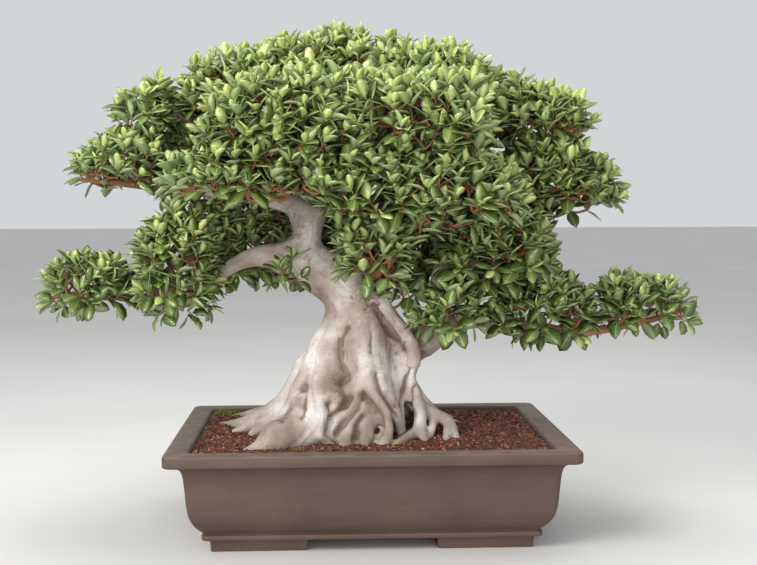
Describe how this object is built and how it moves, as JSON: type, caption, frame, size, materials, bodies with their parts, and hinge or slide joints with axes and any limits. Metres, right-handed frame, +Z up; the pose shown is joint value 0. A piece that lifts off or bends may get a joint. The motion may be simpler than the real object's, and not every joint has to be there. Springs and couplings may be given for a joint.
{
  "type": "ficus bonsai",
  "caption": "Ficus bonsai with a pale buttressed trunk, spreading layers of glossy leaves and a rectangular unglazed pot of soil.",
  "frame": {"origin": "centre of the whole plant's box on the surface that the pot's feet stand on", "axes": "+X to the right along the pot's long side, +Y away from the pictured front, +Z up"},
  "size_m": [1.122, 0.6396, 0.8309],
  "materials": {
    "clay": "matte",
    "soil": "matte",
    "screen": "matte",
    "bark": "matte",
    "foliage": "satin"
  },
  "bodies": {
    "root": {"pot": "clay", "soil": "soil", "drain_screen_left": "screen", "drain_screen_right": "screen", "trunk": "bark", "leaves_crown_left": "foliage", "leaves_crown_middle": "foliage", "leaves_crown_right": "foliage", "leaves_crown_front_left": "foliage", "leaves_crown_front_right": "foliage", "leaves_crown_back_left": "foliage", "leaves_crown_back_right": "foliage", "leaves_upper_left": "foliage", "leaves_upper_right": "foliage", "leaves_mid_left_upper": "foliage", "leaves_mid_left": "foliage", "leaves_mid_left_front": "foliage", "leaves_mid_left_back": "foliage", "leaves_mid_right": "foliage", "leaves_mid_right_front": "foliage", "leaves_mid_right_back": "foliage", "leaves_low_left_tip": "foliage", "leaves_low_left_middle": "foliage", "leaves_low_left_back": "foliage", "leaves_low_back": "foliage", "leaves_low_right": "foliage", "leaves_low_right_back": "foliage", "leaves_bottom_right_inner": "foliage", "leaves_bottom_right_middle": "foliage", "leaves_bottom_right_tip": "foliage", "leaves_front_low": "foliage", "leaves_hanging_tuft": "foliage"}
  },
  "joints": []
}
